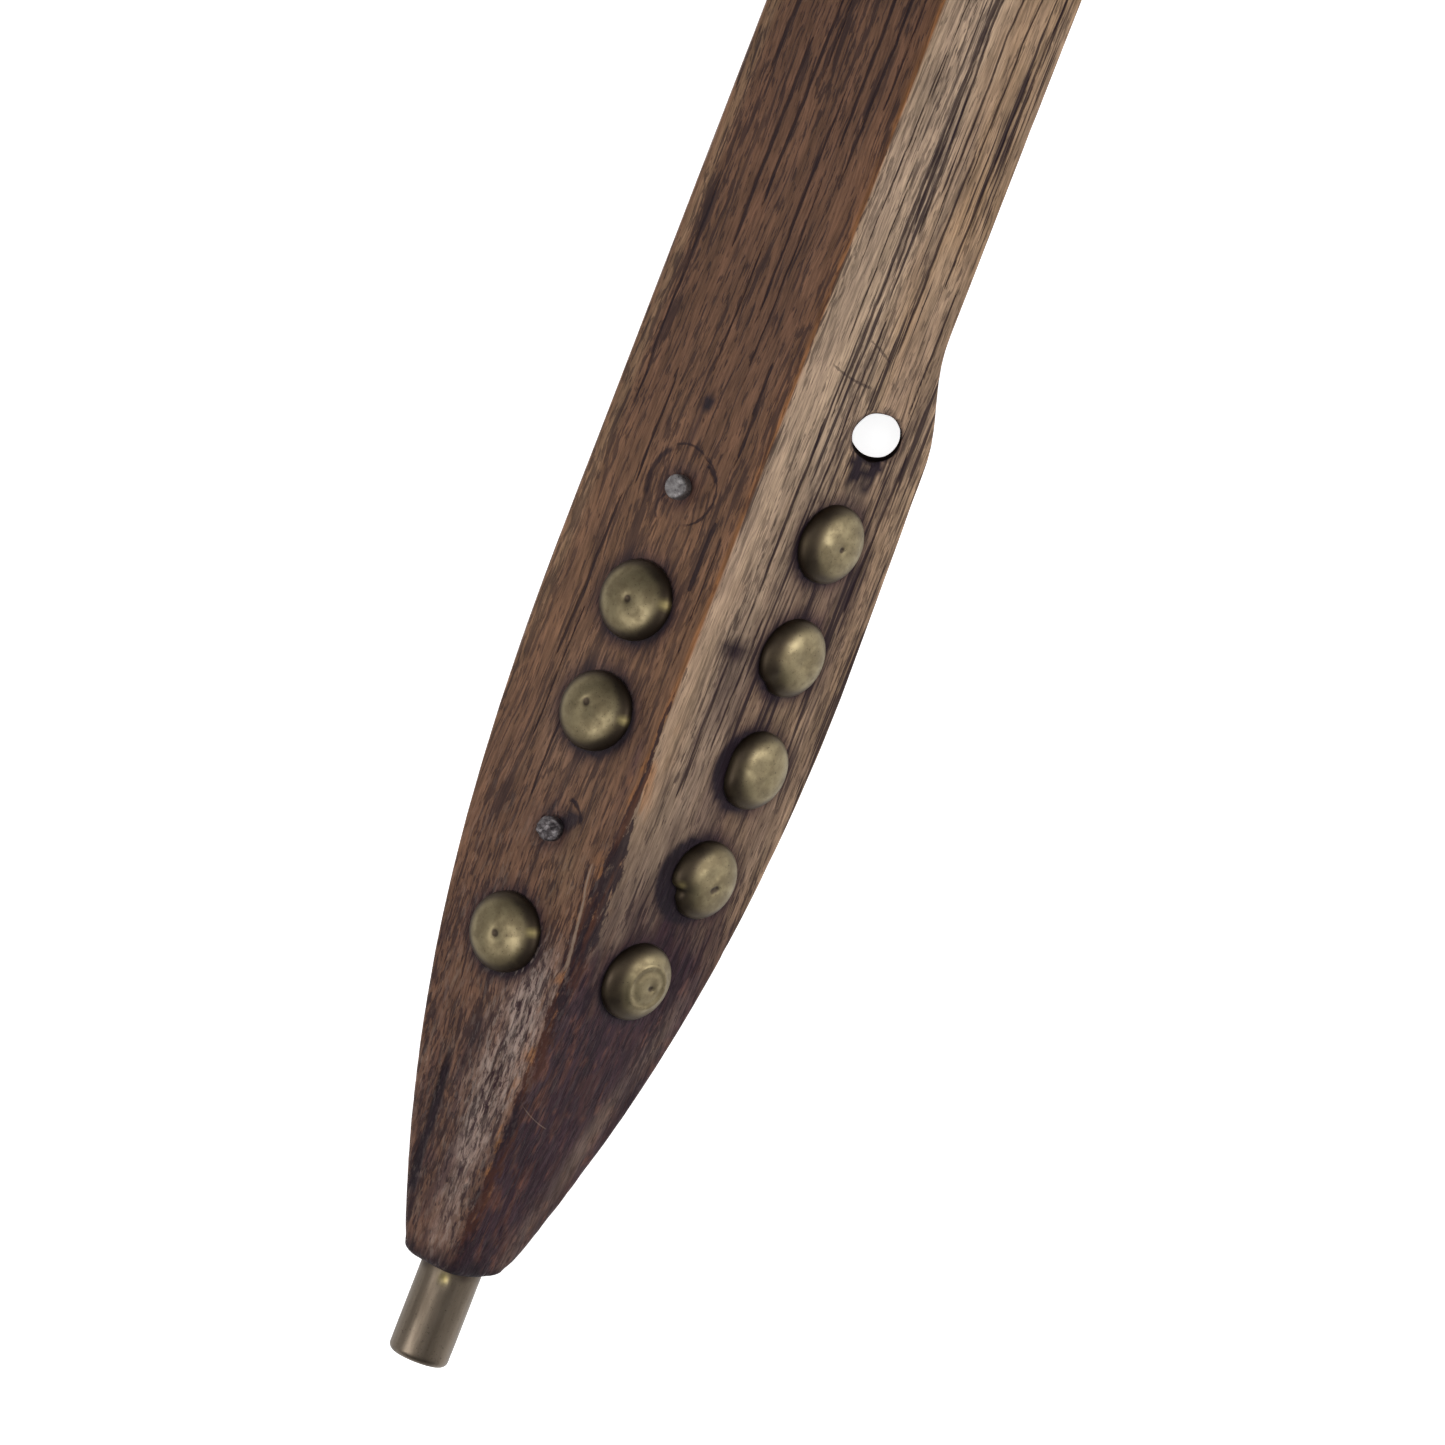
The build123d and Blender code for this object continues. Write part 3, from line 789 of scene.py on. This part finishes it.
def aged_brass(name, bright, dull_tone, dirt_and_shade_tone, stretch, rough):
    """Old brass: soft highlight, brown-green patina in faint clouds, darker where marked as dirty and in painted
    shade, with painted bright glints on marked spots.
    """
    material, tree, shader = new_material(name)
    shader.inputs["Metallic"].default_value = 1.0
    grime = add(tree, "ShaderNodeAttribute", {"attribute_name": "grime"}).outputs["Fac"]
    clouds = stretched_noise(tree, stretch, 4.0, 0.55)
    specks = stretched_noise(tree, (2600.0,) * 3, 2.0, 0.6, 5.0)
    scuffs = stretched_noise(tree, (3500.0, 500.0, 900.0), 2.0, 0.6, 9.0)
    colour = mixed(tree, ranged(tree, clouds, 0.34, 0.66), dull_tone, bright)
    colour = mixed(tree, ranged(tree, specks, 0.60, 0.74, 0.0, 0.55), colour, dirt_and_shade_tone)
    # Dirt and painted shade where a point is marked for them, broken up by faint clouds.
    patchy = maths(tree, "ADD", grime, maths(tree, "MULTIPLY", maths(tree, "SUBTRACT", clouds, 0.5), 0.7))
    colour = mixed(tree, maths(tree, "MULTIPLY", ranged(tree, patchy, 0.25, 0.95), 0.9), colour, dirt_and_shade_tone)
    # Bright brass on marked spots: painted glints on the cap rims, and the peg's nick, partly a painted glint.
    bare = add(tree, "ShaderNodeAttribute", {"attribute_name": "bare"}).outputs["Fac"]
    colour = mixed(tree, bare, colour, (0.48, 0.39, 0.17))
    tree.links.new(colour, shader.inputs["Base Color"])
    gloss = maths(tree, "ADD", ranged(tree, clouds, 0.3, 0.7, rough + 0.05, rough - 0.04),
                  maths(tree, "MULTIPLY", grime, 0.10))
    tree.links.new(gloss, shader.inputs["Roughness"])
    relief = maths(tree, "ADD", clouds, maths(tree, "MULTIPLY", maths(tree, "ADD", specks, scuffs), 0.25))
    bumped(tree, shader, relief, 0.10, 0.00005)
    return material


def dull_steel(name, light, dark):
    """Bare steel pin heads, matt grey with a few dark specks."""
    material, tree, shader = new_material(name)
    shader.inputs["Metallic"].default_value = 1.0
    clouds = stretched_noise(tree, (1300.0,) * 3, 4.0, 0.6)
    specks = stretched_noise(tree, (3000.0,) * 3, 2.0, 0.6, 6.0)
    colour = mixed(tree, ranged(tree, clouds, 0.35, 0.65), dark, light)
    colour = mixed(tree, ranged(tree, specks, 0.58, 0.68, 0.0, 0.75), colour, (0.050, 0.044, 0.045))
    tree.links.new(colour, shader.inputs["Base Color"])
    tree.links.new(ranged(tree, clouds, 0.3, 0.7, 0.64, 0.52), shader.inputs["Roughness"])
    bumped(tree, shader, clouds, 0.25, 0.00012)
    return material


def dark_hole():
    """Wall of the hanging hole: painted near-black shade, with no shine."""
    material, tree, shader = new_material("dark_hole")
    clouds = stretched_noise(tree, (900.0, 900.0, 300.0), 3.0, 0.6)
    colour = mixed(tree, clouds, (0.008, 0.006, 0.007), (0.030, 0.020, 0.017))
    tree.links.new(colour, shader.inputs["Base Color"])
    shader.inputs["Roughness"].default_value = 1.0
    shader.inputs["Specular IOR Level"].default_value = 0.0
    bumped(tree, shader, clouds, 0.4, 0.0002)
    return material


def grey_solder():
    """Soft metal cast inside the caps."""
    material, tree, shader = new_material("grey_solder")
    shader.inputs["Metallic"].default_value = 1.0
    clouds = stretched_noise(tree, (1200.0,) * 3, 3.0, 0.6)
    colour = mixed(tree, clouds, (0.16, 0.16, 0.17), (0.34, 0.34, 0.36))
    tree.links.new(colour, shader.inputs["Base Color"])
    shader.inputs["Roughness"].default_value = 0.6
    bumped(tree, shader, clouds, 0.4, 0.0002)
    return material


WOOD = blade_wood()
HOLE_PAINTED_SHADE = dark_hole()
HANDLE_WOOD = plain_wood("handle_wood", (0.155, 0.082, 0.048), (0.055, 0.030, 0.024), (60.0, 1300.0, 1300.0))
WEDGE_WOOD = plain_wood("wedge_wood", (0.26, 0.165, 0.095), (0.12, 0.070, 0.042), (1300.0, 1300.0, 70.0))
CAP_BRASS = aged_brass("cap_brass", (0.205, 0.167, 0.096), (0.138, 0.109, 0.063), (0.042, 0.030, 0.023),
                       (420.0, 420.0, 420.0), 0.46)
PEG_BRASS = aged_brass("peg_brass", (0.150, 0.120, 0.090), (0.105, 0.082, 0.060), (0.045, 0.033, 0.027),
                       (500.0, 60.0, 500.0), 0.47)
STEEL = dull_steel("dull_steel", (0.265, 0.250, 0.245), (0.165, 0.152, 0.150))
DARK_STEEL = dull_steel("dark_steel", (0.185, 0.168, 0.170), (0.060, 0.050, 0.052))
SOLDER = grey_solder()


# ---------------------------------------------------------------- studs: their shapes

# Dents of each cap: across, along (from the middle), depth and spread
DENTS = {
    "l2": [(0.0, -0.1, 0.26, 0.80), (0.5, -1.2, 0.14, 1.6)],
    "l3": [(-0.7, 0.9, 0.20, 0.70), (0.0, 0.0, 0.18, 1.6)],
    "l5": [(-0.1, -0.3, 0.18, 0.70), (0.9, -1.5, 0.14, 1.7)],
    "r1": [(0.3, -0.1, 0.16, 0.45), (0.0, 0.0, 0.12, 1.9)],
    "r2": [(-3.4, -3.8, 0.30, 1.2), (0.2, 0.2, 0.16, 1.5)],
    "r3": [(-1.2, 0.8, 0.16, 1.8), (0.6, -1.2, 0.08, 0.9)],
    "r4": [(0.9, -0.5, 0.26, 0.50), (0.2, -1.0, 0.22, 0.50), (-4.2, -2.8, 0.30, 1.7), (-0.6, 1.0, 0.14, 1.6)],
    "r5": [(1.3, 0.0, 0.30, 0.60), (1.2, 0.0, 0.14, 1.8)],
}
# Rims pushed in: direction in degrees from across, amount in millimetres, spread in degrees
RIM_FLATS = {
    "r2": [(236, 0.5, 14)],
    "r3": [(184, 0.8, 34)],
    "r4": [(208, 0.8, 9), (222, 0.7, 22)],
    "l3": [(90, 0.2, 40)],
}


# Painted highlights on cap rims, where the side lights glint: direction in degrees from across, distance from the
# middle and spread
PAINTED_RIM_GLINTS = {"l2": [(12, 6.1, 0.7)], "l3": [(4, 6.1, 0.6)], "l5": [(20, 5.9, 0.6)], "r4": [(196, 5.6, 0.5)]}


def dome_profile(radius, crown, rim, power=2.35):
    """Radius and height from the rim up to the middle of a cap."""
    turn = np.linspace(0, 0.93 * pi / 2, 22)
    across = radius * np.cos(turn) ** (2 / power)
    height = rim + (crown - rim) * np.sin(turn) ** (2 / power)
    inner = across[-1] * np.array([0.8, 0.62, 0.46, 0.32, 0.2, 0.1])
    inner_height = crown - (crown - height[-1]) * (inner / across[-1]) ** 2
    return np.concatenate([[radius], across, inner]), np.concatenate([[-CAP_BITE], height, inner_height])


def cap_points(name, radius, crown, rim, segments):
    """Rings of a dented dome in the row frame."""
    stud = STUDS[name]
    turn = np.linspace(0, 2 * pi, segments, endpoint=False)
    rings = []
    for out, up in zip(*dome_profile(radius, crown, rim)):
        reach = np.full(segments, out)
        for direction, amount, spread in RIM_FLATS.get(name, ()):
            away = (np.degrees(turn) - direction + 180) % 360 - 180
            reach -= amount * bump(away, 0, spread) * (out / radius) ** 3
        x, y = reach * np.cos(turn), reach * np.sin(turn)
        z = np.full(segments, float(up))
        lift = np.clip((up + CAP_BITE) / crown, 0, 1)
        for dx, dy, depth, spread in DENTS[name]:
            z -= lift * depth * np.exp(-((x - dx) ** 2 + (y - dy) ** 2) / spread ** 2)
        if name == "r5":
            z += lift * 0.20 * bump(np.hypot(x - 0.6, y), 3.7, 0.42)
            z -= lift * 0.10 * bump(np.hypot(x - 0.6, y), 2.8, 0.50)
        z += lift * 0.05 * cloud(x / 2.2 + 9, y / 2.2, 61 + CAPPED.index(name))
        rings.append(stud["seat"] + np.outer(x, stud["across"]) + np.outer(y, stud["along"])
                     + np.outer(z, stud["outward"]))
    return rings


def store_wear(piece, grime, bare):
    """Keeps, for the brass, each point's dirt and painted shade, and its bare metal and painted glints."""
    for name, amounts in (("grime", grime), ("bare", bare)):
        values = np.clip(amounts, 0, 1).astype(np.float32)
        piece.data.attributes.new(name, "FLOAT", "POINT").data.foreach_set("value", values)


def stud_cap(name):
    """Pressed brass cap as a closed shell, with its dents."""
    low, high = cap_height_over(name, STUDS[name]["outward"], STUDS[name]["seat"])
    radius, wall = 6.5, 0.7
    outer = cap_points(name, radius, high, 0.25, 72)
    inner = cap_points(name, radius - wall, high - wall, 0.2, 72)
    rings = inner[::-1] + outer
    points = np.concatenate(rings)
    piece = mesh_object("brass_cap_" + name, points, ring_faces(len(rings), 72), CAP_BRASS)
    offset = points - STUDS[name]["seat"]
    x, y = offset @ STUDS[name]["across"], offset @ STUDS[name]["along"]
    pricks = [dent for dent in DENTS[name] if dent[3] < 0.85]
    centre = sum(bump(np.hypot(x - dent[0], y - dent[1]), 0, 0.55) for dent in pricks)
    # Painted highlights: bright spots on the rims where the lights glint.
    rim_mark = 0
    for direction, reach, spread in PAINTED_RIM_GLINTS.get(name, ()):
        spot_x, spot_y = reach * cos(radians(direction)), reach * sin(radians(direction))
        rim_mark = rim_mark + bump(np.hypot(x - spot_x, y - spot_y), 0, spread)
    # Dirt in the dents and at the rim, and painted shade: left caps darker all over, each rim darker, on the right
    # caps more to the left and the tip.
    if name[0] == "l":
        grime = 0.24 + 0.75 * step(4.2, 6.4, np.hypot(x, y)) + 1.3 * centre
    else:
        grime = 0.04 + 0.80 * step(3.4, 6.3, np.hypot(x - 0.8, y - 0.5)) + 1.3 * centre
    store_wear(piece, grime, 0.6 * rim_mark + np.zeros(len(x)))
    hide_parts("stud_cap_" + name)
    return piece


def cap_fill(name):
    """Soft metal inside a cap, following its dents."""
    low, high = cap_height_over(name, STUDS[name]["outward"], STUDS[name]["seat"])
    rings = cap_points(name, 5.75, high - 0.75, 0.18, 48)
    piece = mesh_object("cap_fill_" + name, np.concatenate(rings), ring_faces(len(rings), 48), SOLDER)
    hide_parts("stud_fill_" + name)


def bare_pin(name, lean, roughness, steel):
    """Steel pin whose cap is lost, with a hammered or broken head."""
    stud = STUDS[name]
    segments = 40
    turn = np.linspace(0, 2 * pi, segments, endpoint=False)
    length = np.linalg.norm(np.subtract(*[np.array(c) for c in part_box("stud_pin_" + name)])) / MM
    depth = PIN_PROUD - min(length, 12.7)
    profile = [(0.5, depth), (2.0, depth + 3), (2.0, -1.0), (2.0, 0.3), (2.0, 1.0), (1.97, 1.35),
               (1.85, 1.6), (1.6, 1.72), (1.2, 1.75), (0.8, 1.75), (0.4, 1.75)]
    rings = []
    for out, up in profile:
        x, y = out * np.cos(turn), out * np.sin(turn)
        head = step(0.8, 1.6, up)
        z = up + head * (lean * x + roughness * (cloud(x / 0.9 + 5, y / 0.9 + 5, 71) - 0.4))
        z = np.minimum(z, PIN_PROUD + 0.1)
        rings.append(stud["seat"] + np.outer(x, stud["across"]) + np.outer(y, stud["along"])
                     + np.outer(z, stud["outward"]))
    piece = mesh_object("bare_pin_" + name, np.concatenate(rings), ring_faces(len(rings), segments), steel)
    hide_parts("stud_pin_" + name)
    return piece


# ---------------------------------------------------------------- tip peg

def tip_peg():
    """Brass peg with a worn end and a nick where it meets the wood."""
    low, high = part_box("tip_peg")
    centre_x, centre_z = (low.x + high.x) / 2 / MM, (low.z + high.z) / 2 / MM
    radius = (high.x - low.x) / 2 / MM
    start, end = low.y / MM, high.y / MM
    segments = 72
    turn = np.linspace(0, 2 * pi, segments, endpoint=False)
    corner = 1.2
    places = [(radius - corner + corner * sin(a), start + corner * (1 - cos(a)))
              for a in np.linspace(0.15, pi / 2, 8)]
    places = [(1.2, start), (2.6, start)] + places
    places += [(radius, y) for y in np.arange(start + corner + 0.5, TIP_Y + 2, 0.5)]
    places += [(radius, end)]
    rings = []
    for out, y in places:
        angle_mark = bump((np.degrees(turn) - 97 + 180) % 360 - 180, 0, 7)
        nick = 0.35 * angle_mark * bump(y, TIP_Y - 1.6, 0.9)
        wobble = 0.02 * cloud(turn * 3, np.full(segments, y / 3), 81)
        reach = out - nick + wobble * (out / radius)
        x = centre_x + reach * np.cos(turn)
        z = centre_z + reach * np.sin(turn)
        rings.append(np.column_stack([x, np.full(segments, float(y)), z]))
    points = np.concatenate(rings)
    piece = mesh_object("brass_peg", points, ring_faces(len(rings), segments), PEG_BRASS)
    around = np.degrees(np.arctan2(points[:, 2] - centre_z, points[:, 0] - centre_x))
    # Dark stripes along the peg are painted shade; darker at its end and where it enters the wood, both dirt and
    # painted shade.
    grime = 0.35 * bump(around, 62, 12) + 0.40 * bump(around, 150, 16) + 0.3 * step(1.2, 0, points[:, 1] - start)
    # Bright nick by the wood: partly bare brass, partly a painted glint.
    nick = bump(around, 97, 8) * bump(points[:, 1], TIP_Y - 1.3, 0.8)
    store_wear(piece, grime + 0.5 * step(TIP_Y - 2.0, TIP_Y, points[:, 1]), 0.9 * nick)
    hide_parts("tip_peg")
    return piece


# ---------------------------------------------------------------- assembly

def blade():
    """The wooden blade as one fine mesh, with its hole cut and its colours painted."""
    rings = blade_grid()
    rings = end_rings(rings[0]) + rings
    count = len(rings[0])
    piece = mesh_object("worn_blade", np.concatenate(rings), ring_faces(len(rings), count), WOOD)
    cut(piece, hole_cutter())
    # The hole's wall gets the near-black painted-shade material.
    piece.data.materials.append(HOLE_PAINTED_SHADE)
    for face in piece.data.polygons:
        away = np.hypot(face.center.x / MM - HOLE_ACROSS, face.center.y / MM - TIP_Y - HOLE_ALONG)
        if away < HOLE_RADIUS + 0.15 and abs(face.normal.z) < 0.35:
            face.material_index = 1
    paint_blade(piece)
    return piece


def tenon_end():
    """End of the blade's tenon in the handle, a rounded cylinder where the wedge sits."""
    low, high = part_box("handle_wedge")
    centre_z = (low.z + high.z) / 2 / MM
    radius = (high.z - low.z) / 2 / MM
    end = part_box("blade_body")[1].y / MM
    start = SHOULDER + TIP_Y - 1
    segments = 48
    turn = np.linspace(0, 2 * pi, segments, endpoint=False)
    rings = []
    for out, y in ((radius, start), (radius, end - 0.8), (radius - 0.3, end - 0.2), (radius - 0.8, end)):
        x = out * np.cos(turn)
        z = centre_z + out * np.sin(turn)
        rings.append(np.column_stack([x, np.full(segments, float(y)), z]))
    return mesh_object("tenon", np.concatenate(rings), ring_faces(len(rings), segments), WEDGE_WOOD)


def make_camera():
    """Long lens above the blade, looking straight down at its back plane but for a few degrees."""
    lens, sensor, distance = 200.0, 36.0, 1.275
    tilt, side, roll = radians(5.8), radians(2.0), radians(21.3)
    target = Vector((8.97, -31.6, 13.0)) * MM
    back = Vector((-tan(side), tan(tilt), 1.0)).normalized()
    up = (Vector((0, 1, 0)) - back * back.y).normalized()
    right = up.cross(back)
    rolled_up = cos(roll) * up - sin(roll) * right
    rolled_right = cos(roll) * right + sin(roll) * up
    data = bpy.data.cameras.new("camera")
    data.lens, data.sensor_width = lens, sensor
    data.clip_start, data.clip_end = 0.01, 20.0
    camera = bpy.data.objects.new("camera", data)
    turn = Matrix((rolled_right, rolled_up, back)).transposed()
    camera.matrix_world = Matrix.Translation(target + back * distance) @ turn.to_4x4()
    bpy.context.scene.collection.objects.link(camera)
    bpy.context.scene.camera = camera


def soft_light(name, place, size, power, colour=(1, 1, 1)):
    """Rectangular soft light aimed at the middle of the tool."""
    data = bpy.data.lights.new(name, "AREA")
    data.shape = "RECTANGLE"
    data.size, data.size_y = size
    data.energy = power
    data.color = colour
    light = bpy.data.objects.new(name, data)
    light.location = place
    light.rotation_mode = "QUATERNION"
    light.rotation_quaternion = (Vector((0, 0, 0.02)) - Vector(place)).to_track_quat("-Z", "Y")
    bpy.context.scene.collection.objects.link(light)


def studio():
    """Pale glowing table, grey surroundings and three soft lights."""
    material, tree, shader = new_material("pale_table")
    shader.inputs["Base Color"].default_value = (0.8, 0.8, 0.8, 1)
    shader.inputs["Roughness"].default_value = 0.9
    shader.inputs["Emission Color"].default_value = (1, 1, 1, 1)
    shader.inputs["Emission Strength"].default_value = 0.85
    mesh = bpy.data.meshes.new("table")
    half = 3.0
    mesh.from_pydata([(-half, -half, 0), (half, -half, 0), (half, half, 0), (-half, half, 0)], [], [(0, 1, 2, 3)])
    mesh.materials.append(material)
    table = bpy.data.objects.new("table", mesh)
    table.location.z = -0.0005
    bpy.context.scene.collection.objects.link(table)
    world = bpy.data.worlds.new("surroundings")
    world.use_nodes = True
    world.node_tree.nodes["Background"].inputs["Color"].default_value = (0.9, 0.93, 1.0, 1)
    world.node_tree.nodes["Background"].inputs["Strength"].default_value = 0.12
    bpy.context.scene.world = world
    soft_light("overhead", (0.0, 0.1, 1.2), (0.6, 0.6), 3.0)
    soft_light("left", (-0.62, -0.34, 0.72), (0.24, 0.5), 5.0)
    soft_light("right", (0.86, 0.16, 0.50), (0.26, 0.5), 6.2)
    bpy.context.scene.view_settings.view_transform = "Standard"


def assign(names, material):
    """Gives CAD pieces that stay a material."""
    for name in names:
        slots = nodes[name].data.materials
        slots.clear()
        slots.append(material)


make_camera()
studio()
worn_blade = blade()
tenon = tenon_end()
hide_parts("blade_body")
for stud_name in CAPPED:
    stud_cap(stud_name)
    cap_fill(stud_name)
bare_pin("l1", 0.03, 0.12, STEEL)
bare_pin("l4", -0.10, 0.75, DARK_STEEL)
tip_peg()
assign(["cross_handle"], HANDLE_WOOD)
assign(["handle_wedge", "handle_lock_pin"], WEDGE_WOOD)
assign(["stud_pin_" + n for n in CAPPED], STEEL)
